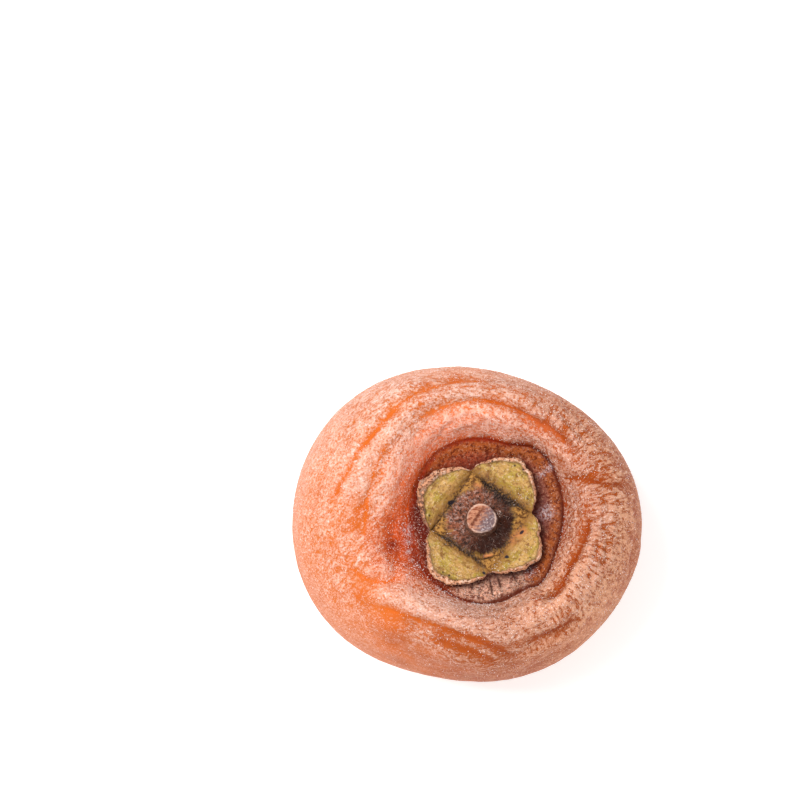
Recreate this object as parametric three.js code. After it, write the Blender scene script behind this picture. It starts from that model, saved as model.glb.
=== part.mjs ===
// A dried persimmon: peeled, sunk and wrinkled in drying. It lies on its blossom end with the calyx up.
// Millimetres. +Z runs up along the calyx's axis. The origin is the middle of the flat spot that it rests on.
import * as THREE from 'three';

// Outline of the fruit, seen from above, as an oval with a few slight waves
const LENGTH = 61.9;
const WIDTH = 55.4;
const LONG_WAY = -9.5; // degrees from +X to the long way of the oval
const OVAL_X = -0.35; // middle of the oval
const OUTLINE_WAVES = [
  { count: 3, share: 0.0095, crest: -10.7 },
  { count: 4, share: 0.0125, crest: 17.5 },
  { count: 5, share: 0.006, crest: -3.6 },
];

// The calyx's axis stands a little off the middle of the fruit
const CALYX_X = 2.15;
const CALYX_Y = -1.45;

// Mean half section, [radius, height]: from the calyx's axis out over the basin, the collar of peel that was
// left there, the crest and the flank, then in under the fruit to the middle of the flat spot
const SECTION = [
  [0, 26.4], [4.5, 26.4], [9, 26.4], [11.6, 26.9], [13.7, 28.3],
  [15.1, 30.3], [17.1, 32.8], [20, 34.2], [23.2, 33.1], [26.1, 29.6], [28.4, 24.2],
  [29.45, 17],
  [28.7, 11.4], [26.2, 6.4], [21.8, 2.7], [16.2, 0.8], [10.5, 0], [5.2, 0], [0, 0],
];
const PEEL_EDGE = 4; // the section's point on the edge of the peel
const EQUATOR = 11; // the section's widest point
const FLAT_SPOT = 16; // the section's point on the rim of the flat spot

// Edge of the peel, [degrees, radius] about the calyx's axis
const PEEL_EDGE_RING = [
  [5, 14.0], [30, 14.9], [52, 15.6], [71, 14.0], [85, 14.3], [120, 14.1], [150, 13.0], [180, 12.4],
  [215, 12.8], [245, 13.5], [278, 14.3], [303, 13.9], [313, 14.7], [340, 13.7],
];
const PEEL_CREASE = { depth: 0.45, width: 0.8 };
const PEEL_CREASE_FAINT = { share: 0.85, at: 185, spread: 42 }; // degrees: where it is half grown over

// Folds of the flesh, as lines seen from above, [degrees, radius] about the calyx's axis. A fold is a groove
// with a swelling along both sides.
const FOLDS = [
  { depth: 0.9, width: 1.1, swell: 0.4, line: [[80, 24], [98, 24.5], [116, 24], [132, 23.4], [163, 25]] },
  { depth: 0.7, width: 1.2, swell: 0.4, line: [[134, 20.4], [113, 19.8], [91, 20], [76, 19.6], [62, 18.6]] },
  { depth: 1.1, width: 0.9, swell: 0.5, line: [[94, 20], [76, 19.6], [62, 18.6], [48, 19], [32, 19]] },
  { depth: 0.8, width: 0.9, swell: 0.3, line: [[4, 18], [348, 17.5], [328, 17], [314, 18], [303, 17.3]] },
  { depth: 0.6, width: 0.8, swell: 0.25, line: [[26, 15.6], [21, 17.9], [16, 20.9], [12, 27.2]] },
  { depth: 0.7, width: 1.1, swell: 0.4, line: [[216, 25], [231, 22], [254, 20.4], [270, 21.5], [287, 25]] },
  { depth: 0.45, width: 0.8, swell: 0.25, line: [[249, 22.4], [258, 22.3], [266, 22.7], [277, 24.4]] },
  { depth: 0.5, width: 0.9, swell: 0.25, line: [[288, 22.3], [298, 22.8], [304, 23.2], [316, 24]] },
  { depth: 0.6, width: 1.9, swell: 0.15, line: [[176, 14.6], [188, 15.3], [200, 15.7], [212, 14.8]] },
  { depth: 0.5, width: 1.2, swell: 0.3, line: [[200, 25], [209, 22.8], [215, 19.6], [216, 16.4]] },
  { depth: 0.35, width: 1.6, swell: 0.2, line: [[138, 20.8], [156, 19.7], [174, 19.5], [194, 20.6]] },
];
const FOLD_SPAN = 6; // line pieces between two points of a fold
const FOLD_END = 0.2; // share of a fold's length over which each end fades out
const SWELL = { off: 2.2, width: 1.2 }; // the swellings' place and width, in widths of the groove

// Broad sags and swellings, in waves round the fruit, each strongest some section points past the equator
const SAGS = [
  { count: 2, height: 0.4, crest: 120, at: -4 },
  { count: 3, height: 0.4, crest: 35, at: -2 },
  { count: 4, height: 0.45, crest: 60, at: 1.5 },
  { count: 5, height: 0.3, crest: 10, at: 2 },
  { count: 7, height: 0.2, crest: 20, at: -3 },
];
const SAG_REACH = 1.6; // section points

// Calyx: four sepals grown together in the middle. Each bends up from a fold across its root.
const CALYX_GAP = 0.3; // from the basin's floor to the calyx, and from the calyx to the stub
const CALYX_HALF_WIDTH = 9.9;
const CALYX_SQUARENESS = 5; // exponent of the rounded square through the sepals' ends
const JUNCTION = 10; // degrees to the first gap between two sepals
const NOTCH = { depth: 0.9, width: 7 }; // mm, degrees
const SEPALS = [
  { reach: 1.05, rise: 2.0 },
  { reach: 1.03, rise: 1.7 },
  { reach: 1.06, rise: 1.5 },
  { reach: 0.99, rise: 1.5 },
];
const SEPAL_THICKNESS = 0.9;
const SEPAL_BEND = { bulge: 0.8, turn: 115 }; // exponent, and degrees of a sine wave, from fold to edge
const SEPAL_SIDES = 0.35; // exponent: the lower, the steeper a sepal rises from its sides
const SEPAL_FOLD = { radius: 5.9, corner: 1.1 }; // mm at mid-sepal, exponent: 1 is a straight-sided square
const DISC_HEIGHT = 1.5; // at the stub
const DISC_EDGE_HEIGHT = 1.2; // next to the folds
const FOLD_HEIGHT = 0.95; // in the folds
const FOLD_LIP = 0.15; // share of the disc's radius over which it drops into the folds

// Stub of the cut stalk
const STUB_RADIUS = 2.6;
const STUB_HEIGHT = 2.1;
const STUB_FOOT = { flare: 0.35, height: 0.7 };
const STUB_RIM = 0.2; // worn edge of the cut face
const STUB_CUT_SLOPE = 0.06; // rise of the cut face across the stub, mm for each mm

// Fineness
const FRUIT_COLUMNS = 108;
const FRUIT_RINGS = [1, 1, 1, 2, 2, 3, 4, 4, 4, 3, 2, 2, 2, 2, 1, 1, 1, 1]; // for each step of the section
const CALYX_COLUMNS = 72;
const STUB_COLUMNS = 32;

const DEGREE = Math.PI / 180;
const CIRCLE = 360;

const fall = (distance, width) => Math.exp(-((distance / width) ** 2));

const smoothStep = (low, high, value) => THREE.MathUtils.smoothstep(value, low, high);

// Difference of two directions, -180 to 180 degrees
const turn = (from, to) => THREE.MathUtils.euclideanModulo(to - from + CIRCLE / 2, CIRCLE) - CIRCLE / 2;

// Radius of a closed ring of [degrees, radius] points, smooth in between
function ringRadius(ring, degrees) {
  const count = ring.length;
  const angle = THREE.MathUtils.euclideanModulo(degrees, CIRCLE);
  const next = ring.findIndex((point) => point[0] > angle);
  const after = next < 0 ? count : next;
  const point = (index) => {
    const lap = Math.floor(index / count);
    const [pointDegrees, radius] = ring[index - lap * count];
    return [pointDegrees + lap * CIRCLE, radius];
  };
  const [before, start, end, beyond] = [-2, -1, 0, 1].map((offset) => point(after + offset));
  const span = end[0] - start[0];
  const startSlope = ((end[1] - before[1]) / (end[0] - before[0])) * span;
  const endSlope = ((beyond[1] - start[1]) / (beyond[0] - start[0])) * span;
  const t = (angle - start[0]) / span;
  return (
    start[1] * (2 * t ** 3 - 3 * t ** 2 + 1) +
    startSlope * (t ** 3 - 2 * t ** 2 + t) +
    end[1] * (3 * t ** 2 - 2 * t ** 3) +
    endSlope * (t ** 3 - t ** 2)
  );
}

function outlineRadius(degrees) {
  const oval = ((LENGTH - WIDTH) / (LENGTH + WIDTH)) * Math.cos(2 * (degrees - LONG_WAY) * DEGREE);
  const waves = OUTLINE_WAVES.reduce(
    (sum, { count, share, crest }) => sum + share * Math.cos(count * (degrees - crest) * DEGREE), 0);
  return ((LENGTH + WIDTH) / 4) * (1 + oval + waves);
}

// Nearest place on a fold's line: how far off it is, and its share of the line's length
function nearestOnLine(line, x, y) {
  let best = { distance: Infinity, share: 0 };
  for (let i = 0; i < line.length - 1; i += 1) {
    const [start, end] = [line[i], line[i + 1]];
    const along = end.clone().sub(start);
    const offset = new THREE.Vector2(x, y).sub(start);
    const t = THREE.MathUtils.clamp(offset.dot(along) / along.lengthSq(), 0, 1);
    const distance = offset.addScaledVector(along, -t).length();
    if (distance < best.distance) {
      best = { distance, share: (i + t) / (line.length - 1) };
    }
  }
  return best;
}

const direction = (degrees) => new THREE.Vector2(Math.cos(degrees * DEGREE), Math.sin(degrees * DEGREE));

const foldLines = FOLDS.map(({ line }) => {
  const points = line.map(([degrees, radius]) => direction(degrees).multiplyScalar(radius));
  return new THREE.SplineCurve(points).getPoints((line.length - 1) * FOLD_SPAN);
});

// How far the folds lift the skin at a place, seen from above, about the calyx's axis
function foldLift(x, y) {
  return FOLDS.reduce((lift, { depth, width, swell }, index) => {
    const { distance, share } = nearestOnLine(foldLines[index], x, y);
    const fade = smoothStep(0, FOLD_END, share) * smoothStep(0, FOLD_END, 1 - share);
    const groove = -depth * fall(distance, width);
    const sides = swell * fall(distance - SWELL.off * width, SWELL.width * width);
    return lift + fade * (groove + sides);
  }, 0);
}

function peelCreaseLift(x, y) {
  const degrees = Math.atan2(y, x) / DEGREE;
  const { share, at, spread } = PEEL_CREASE_FAINT;
  const faint = share * fall(turn(at, degrees), spread);
  const distance = Math.hypot(x, y) - ringRadius(PEEL_EDGE_RING, degrees);
  return -PEEL_CREASE.depth * (1 - faint) * fall(distance, PEEL_CREASE.width);
}

function sagLift(degrees, step) {
  return SAGS.reduce((lift, { count, height, crest, at }) => {
    const wave = Math.cos(count * (degrees - crest) * DEGREE);
    return lift + height * wave * fall(step - EQUATOR - at, SAG_REACH);
  }, 0);
}

const section = new THREE.SplineCurve(SECTION.map((point) => new THREE.Vector2(...point)));

// Point of the fruit's skin in a direction, a number of section points along the section
function skinPoint(degrees, step) {
  const share = step / (SECTION.length - 1);
  const [radius, height] = section.getPoint(share).toArray();
  const tangent = section.getTangent(share);
  const [edgeRadius] = SECTION[PEEL_EDGE];
  const [fullRadius] = SECTION[EQUATOR];
  const way = direction(degrees);
  const axis = new THREE.Vector2(CALYX_X, CALYX_Y);
  const peelEdge = way.clone().multiplyScalar(ringRadius(PEEL_EDGE_RING, degrees)).add(axis);
  const outline = way.clone().multiplyScalar(outlineRadius(degrees));
  outline.x += OVAL_X;

  let plan;
  if (step <= PEEL_EDGE) {
    plan = axis.clone().lerp(peelEdge, radius / edgeRadius);
  } else if (step <= EQUATOR) {
    plan = peelEdge.clone().lerp(outline, (radius - edgeRadius) / (fullRadius - edgeRadius));
  } else {
    plan = outline.clone().multiplyScalar(radius / fullRadius);
  }

  const [x, y] = plan.clone().sub(axis).toArray();
  const upperLift = step < EQUATOR ? foldLift(x, y) + peelCreaseLift(x, y) : 0;
  const overBasin = smoothStep(PEEL_EDGE - 2, PEEL_EDGE - 1, step);
  const offFlatSpot = 1 - smoothStep(FLAT_SPOT - 2, FLAT_SPOT, step);
  const lift = overBasin * (upperLift + offFlatSpot * sagLift(degrees, step));
  plan.addScaledVector(way, -tangent.y * lift);
  const z = step >= FLAT_SPOT ? 0 : Math.max(height + tangent.x * lift, 0);
  return [plan.x, plan.y, z];
}

// One closed skin of columns and rings, which starts and ends in a point
function closedSkin(columns, rings, pointAt) {
  const positions = [...pointAt(0, 0)];
  for (let ring = 1; ring < rings; ring += 1) {
    for (let column = 0; column < columns; column += 1) {
      positions.push(...pointAt(column, ring));
    }
  }
  positions.push(...pointAt(0, rings));

  const last = positions.length / 3 - 1;
  const vertex = (column, ring) => 1 + (ring - 1) * columns + (column % columns);
  const triangles = [];
  for (let column = 0; column < columns; column += 1) {
    triangles.push(0, vertex(column, 1), vertex(column + 1, 1));
    for (let ring = 1; ring < rings - 1; ring += 1) {
      const [inner, innerNext] = [vertex(column, ring), vertex(column + 1, ring)];
      const [outer, outerNext] = [vertex(column, ring + 1), vertex(column + 1, ring + 1)];
      triangles.push(inner, outer, outerNext, inner, outerNext, innerNext);
    }
    triangles.push(last, vertex(column + 1, rings - 1), vertex(column, rings - 1));
  }

  const geometry = new THREE.BufferGeometry();
  geometry.setAttribute('position', new THREE.Float32BufferAttribute(positions, 3));
  geometry.setIndex(triangles);
  geometry.computeVertexNormals();
  return geometry;
}

function fruitMesh() {
  const steps = FRUIT_RINGS.flatMap((rings, step) =>
    Array.from({ length: rings }, (_, ring) => step + ring / rings));
  steps.push(SECTION.length - 1);
  const geometry = closedSkin(FRUIT_COLUMNS, steps.length - 1, (column, ring) =>
    skinPoint((column / FRUIT_COLUMNS) * CIRCLE, steps[ring]));
  const material = new THREE.MeshStandardMaterial({ color: 0xe08a58, roughness: 0.75, metalness: 0 });
  const mesh = new THREE.Mesh(geometry, material);
  mesh.name = 'fruit';
  return mesh;
}

// The sepal in a direction, and how far into it the direction points: 0 at its sides, 1 at its middle
function sepalAt(degrees) {
  const quarter = CIRCLE / 4;
  const past = THREE.MathUtils.euclideanModulo(degrees - JUNCTION, CIRCLE);
  const offJunction = Math.abs(turn(0, 4 * past)) / 4;
  return {
    ...SEPALS[Math.floor(past / quarter)],
    middle: Math.sin((past % quarter) * 2 * DEGREE),
    offJunction,
  };
}

// Radius of the fold across a sepal's root, and of the sepal's edge
function sepalRadii(degrees) {
  const { reach, middle, offJunction } = sepalAt(degrees);
  const { x, y } = direction(degrees - JUNCTION);
  const power = Math.abs(x) ** CALYX_SQUARENESS + Math.abs(y) ** CALYX_SQUARENESS;
  const square = CALYX_HALF_WIDTH / power ** (1 / CALYX_SQUARENESS);
  const grown = THREE.MathUtils.lerp(1, reach, middle);
  const edge = square * grown - NOTCH.depth * fall(offJunction, NOTCH.width);
  const fold = SEPAL_FOLD.radius / Math.cos((CIRCLE / 8 - offJunction) * DEGREE) ** SEPAL_FOLD.corner;
  return { edge, fold };
}

// Height of the calyx's upper face. Outward is -1 at the axis, 0 at the fold and 1 at the sepal's edge.
function calyxTop(degrees, outward, radius) {
  if (outward <= 0) {
    const offStub = smoothStep(STUB_RADIUS + STUB_FOOT.flare, SEPAL_FOLD.radius, radius);
    const disc = THREE.MathUtils.lerp(DISC_HEIGHT, DISC_EDGE_HEIGHT, offStub);
    return THREE.MathUtils.lerp(disc, FOLD_HEIGHT, smoothStep(-FOLD_LIP, 0, outward));
  }
  const { rise, middle } = sepalAt(degrees);
  const bend = Math.sin(outward ** SEPAL_BEND.bulge * SEPAL_BEND.turn * DEGREE);
  return FOLD_HEIGHT + rise * middle ** SEPAL_SIDES * bend;
}

function calyxMesh() {
  const upper = [-1, -0.6, -0.4, -0.2, 0, 0.1, 0.25, 0.4, 0.55, 0.7, 0.85, 1];
  const under = [1, 0.75, 0.5, 0.25, 0, -1];
  const outwards = [...upper, ...under];
  const geometry = closedSkin(CALYX_COLUMNS, outwards.length - 1, (column, ring) => {
    const degrees = JUNCTION + (column / CALYX_COLUMNS) * CIRCLE;
    const { edge, fold } = sepalRadii(degrees);
    const outward = outwards[ring];
    const radius = outward <= 0 ? fold * (1 + outward) : THREE.MathUtils.lerp(fold, edge, outward);
    const top = calyxTop(degrees, outward, radius);
    const bottom = outward <= 0 ? 0 : Math.max(top - SEPAL_THICKNESS, 0);
    return [...direction(degrees).multiplyScalar(radius), ring < upper.length ? top : bottom];
  });
  const material = new THREE.MeshStandardMaterial({ color: 0xb9a35a, roughness: 0.85, metalness: 0 });
  const mesh = new THREE.Mesh(geometry, material);
  mesh.name = 'calyx';
  mesh.position.z = SECTION[0][1] + CALYX_GAP;
  return mesh;
}

function stubMesh() {
  const profile = [
    [0, STUB_HEIGHT],
    [STUB_RADIUS - STUB_RIM, STUB_HEIGHT],
    [STUB_RADIUS, STUB_HEIGHT - STUB_RIM],
    [STUB_RADIUS, STUB_FOOT.height],
    [STUB_RADIUS + STUB_FOOT.flare, 0],
    [0, 0],
  ];
  const geometry = closedSkin(STUB_COLUMNS, profile.length - 1, (column, ring) => {
    const [radius, height] = profile[ring];
    const { x, y } = direction((column / STUB_COLUMNS) * CIRCLE).multiplyScalar(radius);
    return [x, y, height * (1 + (STUB_CUT_SLOPE * x) / STUB_HEIGHT)];
  });
  const material = new THREE.MeshStandardMaterial({ color: 0xb98468, roughness: 0.9, metalness: 0 });
  const mesh = new THREE.Mesh(geometry, material);
  mesh.name = 'stem_stub';
  mesh.position.z = SECTION[0][1] + CALYX_GAP + DISC_HEIGHT + CALYX_GAP;
  return mesh;
}

const calyxAndStub = new THREE.Group();
calyxAndStub.position.set(CALYX_X, CALYX_Y, 0);
calyxAndStub.add(calyxMesh(), stubMesh());

const persimmon = new THREE.Group();
persimmon.add(fruitMesh(), calyxAndStub);

export default persimmon;
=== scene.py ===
"""Looks of the dried persimmon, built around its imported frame.

The shapes are worked out in millimetres in the row frame, and made into meshes in metres. Directions on top
are degrees about the calyx's axis. A mask says from 0 to 1 how far each vertex is in a zone.
"""
import functools
import itertools
import math

import bpy
import numpy as np
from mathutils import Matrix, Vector


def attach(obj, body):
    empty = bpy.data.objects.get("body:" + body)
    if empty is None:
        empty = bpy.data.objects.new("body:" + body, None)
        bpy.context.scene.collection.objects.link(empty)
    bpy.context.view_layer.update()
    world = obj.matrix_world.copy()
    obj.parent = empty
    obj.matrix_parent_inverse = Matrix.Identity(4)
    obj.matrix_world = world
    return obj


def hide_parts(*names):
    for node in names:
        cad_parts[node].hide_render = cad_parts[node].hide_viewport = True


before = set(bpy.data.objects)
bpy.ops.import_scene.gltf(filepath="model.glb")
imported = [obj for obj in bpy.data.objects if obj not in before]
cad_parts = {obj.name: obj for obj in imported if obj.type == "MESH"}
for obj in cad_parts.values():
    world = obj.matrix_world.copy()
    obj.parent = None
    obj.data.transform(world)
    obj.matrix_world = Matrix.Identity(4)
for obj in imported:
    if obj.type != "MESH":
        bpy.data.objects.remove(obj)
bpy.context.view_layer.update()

MM = 0.001  # metres
RADIAN = 57  # degrees, near enough to measure along a short arc

# --- Camera, a long lens that looks down on the calyx, and stage ---
FRAME_PX = 800
LENS_MM = 100
SENSOR_MM = 36
CAMERA_ELEVATION = 77  # degrees, of the lens's own axis
CAMERA_DISTANCE = 394  # mm, from the lens to the middle of the fruit along the lens's axis
MIDDLE_HEIGHT = 16.5  # mm, the middle of the fruit above the floor
MIDDLE_PX = (466.35, 524.1)  # where the middle of the fruit shows
FLOOR_HALF = 3000  # mm
SKY_STRENGTH = 0.72
LIGHTS = {"key": ((-0.42, 0.12, 0.87), 0.35, 7.8), "fill": ((0.1, -0.5, 0.85), 0.5, 2)}  # place, size, power

# --- Fruit: the same shape as the frame's solid ---
LENGTH = 61.9
WIDTH = 55.4
LONG_WAY = -9.5  # degrees
OVAL_X = -0.35
OUTLINE_WAVES = [  # count, share of the radius, first crest
    (3, 0.0095, -10.7), (4, 0.0125, 17.5), (5, 0.006, -3.6),
]
CALYX_AXIS = (2.15, -1.45)
SECTION = [
    (0, 26.4), (4.5, 26.4), (9, 26.4), (11.6, 26.9), (13.7, 28.3),
    (15.1, 30.3), (17.1, 32.8), (20, 34.2), (23.2, 33.1), (26.1, 29.6), (28.4, 24.2),
    (29.45, 17),
    (28.7, 11.4), (26.2, 6.4), (21.8, 2.7), (16.2, 0.8), (10.5, 0), (5.2, 0), (0, 0),
]
PEEL_EDGE = 4  # steps along the section
EQUATOR = 11
FLAT_SPOT = 16
PEEL_EDGE_RING = [
    (5, 14.0), (30, 14.9), (52, 15.6), (71, 14.0), (85, 14.3), (120, 14.1), (150, 13.0), (180, 12.4),
    (215, 12.8), (245, 13.5), (278, 14.3), (303, 13.9), (313, 14.7), (340, 13.7),
]
PEEL_CREASE = (0.25, 0.45)  # depth, width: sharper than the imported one
PEEL_CREASE_AT = -0.15  # from the edge of the peel
PEEL_CREASE_FAINT = [(185, 0.85, 42)]  # direction, share, spread
FOLDS = [  # depth (less where frost fills them), width, swell, points as degrees and radius
    (0.6, 1.1, 0.3, [(80, 24), (98, 24.5), (116, 24), (132, 23.4), (163, 25)]),
    (0.5, 1.2, 0.3, [(134, 20.4), (113, 19.8), (91, 20), (76, 19.6), (62, 18.6)]),
    (0.9, 0.9, 0.4, [(94, 20), (76, 19.6), (62, 18.6), (48, 19), (32, 19)]),
    (0.8, 0.9, 0.3, [(4, 18), (348, 17.5), (328, 17), (314, 18), (303, 17.3)]),
    (0.6, 0.8, 0.25, [(26, 15.6), (21, 17.9), (16, 20.9), (12, 27.2)]),
    (0.7, 1.1, 0.4, [(216, 25), (231, 22), (254, 20.4), (270, 21.5), (287, 25)]),
    (0.45, 0.8, 0.25, [(249, 22.4), (258, 22.3), (266, 22.7), (277, 24.4)]),
    (0.5, 0.9, 0.25, [(288, 22.3), (298, 22.8), (304, 23.2), (316, 24)]),
    (0.6, 1.9, 0.15, [(176, 14.6), (188, 15.3), (200, 15.7), (212, 14.8)]),
    (0.5, 1.2, 0.3, [(200, 25), (209, 22.8), (215, 19.6), (216, 16.4)]),
    (0.35, 1.6, 0.2, [(138, 20.8), (156, 19.7), (174, 19.5), (194, 20.6)]),
]
FOLD_SPAN = 6  # short straight pieces between two points of a fold
FOLD_END = 0.2  # share of a fold over which each of its ends fades
SWELL = (2.2, 1.2)  # place and width, in widths of the groove
SAGS = [  # count round the fruit, size, first crest, steps below the equator
    (2, 0.4, 120, -4), (3, 0.4, 35, -2), (4, 0.45, 60, 1.5), (5, 0.3, 10, 2), (7, 0.2, 20, -3),
]
SAG_REACH = 1.6  # steps

# --- Fruit: what the looks add ---
FRUIT_COLUMNS = 600
FRUIT_RINGS = [2, 2, 3, 8, 12, 15, 15, 15, 16, 16, 14, 11, 11, 9, 6, 5, 3, 3]  # for each step of the section
SKIN_ROUND = 28  # mm, radius at which the skin's grain has its true length round the fruit
GROOVE_CORE = 0.26  # mm, half width of the dark line along a groove
FINE_FOLDS = 34  # small folds that run round the basin
FINE_FOLD_RADIUS = (16, 28)
FINE_FOLD_SPAN = (12, 38)  # degrees
FINE_FOLD_SIZES = [(0.08, 0.24), (0.35, 0.6), (0.04, 0.12)]  # least and most depth, width and swell
WRINKLE_ALONG = (6, 6, 1.5)  # mm: long round the fruit, short along its section
WRINKLE_ACROSS = (1.7, 1.7, 5)
WRINKLE_LEANING = (5, 1.4, 2)
WRINKLE_HEIGHT = 0.13
LUMP_HEIGHT = 0.12
PEEL_WRINKLE_HEIGHT = 0.18
PEEL_GRAIN_HEIGHT = 0.1
LEAN = (190, 32, 36)  # degrees: middle and spread of the flank whose wrinkles lean, and their way
PEEL_SEAM = (0.2, 0.2)  # depth and width of the sharp line along the edge of the peel
PEEL_CRACKS = [(279, 12.9, 0.2), (287, 12.1, 0.26), (262, 11.9, 0.1), (301, 12.4, 0.1)]  # degrees, end, width
PEEL_CRACK_START = (9.6, 10.2)
PEEL_CRACK_DEPTH = 0.35
# Pale spots on the peel: the first four are painted highlights where the glossy peel catches the light, the
# rest drifts of white sugar
HIGHLIGHTS_AND_DRIFTS = [  # pale: degrees, radius, spread
    (8, 11.6, 1.1), (38, 13.4, 0.5), (38, 15.0, 0.5), (315, 12.1, 0.6), (204, 13.5, 0.36), (197, 13.1, 0.42),
    (191, 12.6, 0.36), (185, 12.2, 0.3), (210, 13.9, 0.3), (188, 12.9, 0.5),
]
# The pocket's spot is painted shadow in a hollow beside the basin, added to the red mask
POCKET = (198, 15.4, 1.3)  # degrees, radius and spread of the dark hollow beside the basin
BARE_SPOTS = [  # degrees, radius, spread, how bare
    (184, 20.4, 2.5, 0.8), (176, 19.2, 1.8, 0.4), (120, 21.2, 1.6, 0.5), (100, 24.8, 1.6, 0.5),
    (113, 24.2, 1.4, 0.4), (60, 20.0, 1.2, 0.35), (85, 19.8, 1.4, 0.4), (130, 23.2, 1.1, 0.4),
    (213, 24.6, 2.0, 0.4), (232, 24.5, 3.0, 0.45), (252, 21.4, 1.7, 0.4), (268, 21.0, 1.3, 0.3),
    (303, 16.8, 0.9, 0.6), (318, 17.4, 0.9, 0.85), (335, 17.2, 0.9, 0.45), (350, 17.0, 0.9, 0.45),
    (20, 21.2, 1.8, 0.55), (6, 17.8, 1.3, 0.5),
]
BARE_STREAKS = [  # depth, width, swell, points: thin lines between the frosted ridges
    (0.12, 0.5, 0.08, [(125, 20.8), (142, 19.3), (160, 18.8), (175, 20.3), (181, 21.6)]),
    (0.12, 0.45, 0.08, [(138, 23.0), (150, 23.5), (165, 24.1), (176, 25.9)]),
    (0.1, 0.45, 0.08, [(60, 22.6), (80, 22.2), (100, 22.4), (118, 22.6)]),
    (0.1, 0.4, 0.06, [(8, 20.5), (352, 20.6), (335, 20.2), (322, 21.4)]),
    (0.08, 0.4, 0.05, [(142, 15.2), (152, 15.3), (165, 15.6)]),
]
ZONES = {  # direction and spread in degrees
    "no peel": (188, 42), "thin crease": (196, 36), "no crease": (122, 14), "wide crease": (300, 45),
    "red wall": (218, 28), "red inside": (172, 34), "maroon": (185, 40), "flush": (190, 42),
    "wide flush": (204, 24), "pink": (126, 60), "rim": (335, 62), "calm": (215, 75), "wide blush": (346, 24),
    "less blush": (288, 34), "east": (8, 48), "warm": (338, 62), "warm basin": (308, 34),
}
SOUTH = (278, 24, 36)  # degrees: middle of the peel's pale part, and how far off that it is whole and ends
CREASE_SHIFTS = [(152, 0.55, 24), (52, -0.35, 22), (288, 0.3, 16)]  # degrees, mm inwards, spread
COVER = 0.55  # how much of the skin the powder covers
COVER_PATCHES = {  # for each ring: degrees, how much more, spread
    "whole slope": [(320, 0.12, 28)], "outer slope": [(232, -0.2, 42), (180, -0.1, 25), (280, -0.1, 30)],
    "middle slope": [(264, 0.196, 36)], "lip": [(285, 0.16, 45)],
}
SCAR_RADIUS = 2.2  # blossom end, in the middle of the flat spot
GRAINS = 13000  # loose sugar grains
GRAIN_RADIUS = (0.028, 0.088)
GRAIN_CLUMPS = [  # degrees, radius, spread, share of the grains
    (218, 13.4, 2.0, 0.012), (242, 13.8, 1.8, 0.012), (190, 12.6, 2.2, 0.012), (38, 14.3, 0.8, 0.004),
    (268, 15.4, 2.4, 0.015), (212, 19, 3, 0.03), (158, 17, 4, 0.02), (315, 13.0, 1.2, 0.006),
    (10, 12, 0.8, 0.002),
]
CALYX_GRAIN_CLUMPS = [(24, 3.4, 0.45, 60), (30, 7.6, 1.2, 40), (200, 7.5, 1.5, 40), (290, 8, 1.5, 30)]

# --- Calyx and stub: the same shape as the frame's solids ---
CALYX_GAP = 0.3
CALYX_HALF_WIDTH = 9.9
CALYX_SQUARENESS = 5
JUNCTION = 10
NOTCH = (0.9, 7)  # depth, spread in degrees
SEPALS = [(1.05, 2.0), (1.03, 1.7), (1.06, 1.5), (0.99, 1.5)]  # reach, rise
SEPAL_THICKNESS = 0.9
SEPAL_BEND = (0.8, 115)  # exponent, degrees of bend
SEPAL_SIDES = 0.35
SEPAL_FOLD = (5.9, 1.1)  # radius at mid-sepal, exponent: 1 is a straight-sided square
DISC_HEIGHT = 1.5
DISC_EDGE_HEIGHT = 1.2
FOLD_HEIGHT = 0.95
FOLD_LIP = 0.15
STUB_RADIUS = 2.6
STUB_HEIGHT = 2.1
STUB_FOOT = (0.35, 0.7)  # spread, height
STUB_RIM = 0.2
STUB_CUT_SLOPE = 0.06

# --- Calyx and stub: what the looks add ---
CALYX_COLUMNS = 420
CALYX_DISC_RINGS = 60
CALYX_SEPAL_RINGS = 100
CALYX_UNDER_RINGS = (34, 7)  # below the sepals, below the disc
CORK_SHARE = [0.17, 0.27, 0.17, 0.15]  # share of each sepal's length that its corky edge takes
FUZZ = [(1.0, 0.8), (0.3, 0.5), (0.8, 0.5), (0.3, 0.3)]  # share and width of the fuzz at each sepal's root
EDGE_WAVES = [(21, 5, 0.3), (22, 19, 0.22)]  # seed, how many a radian, size
EDGE_NICKS = [  # degrees, depth, spread
    (49, 0.7, 3), (64, 0.35, 2), (140, 0.5, 5), (203, 0.4, 3), (236, 0.3, 3), (318, 0.4, 4), (346, 0.35, 3),
]
EDGE_ROUND = 0.2
LEAST_THICKNESS = 0.3
FELT_RADIUS = 5.8
# A gap is dug into the shape, and painted dark through the fuzz mask as shade in the crevice
FOLD_GAPS = [  # degrees, share, spread: where a sepal's root stands off the disc and leaves a black gap
    (150, 0.9, 12), (182, 0.9, 8), (200, 0.9, 12), (232, 0.5, 12), (84, 0.8, 12), (60, 0.7, 16),
    (24, 0.9, 14), (268, 0.3, 8),
]
BURNT = [(168, 1, 27)]  # degrees, share, spread of the dark part of the corky edge
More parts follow.
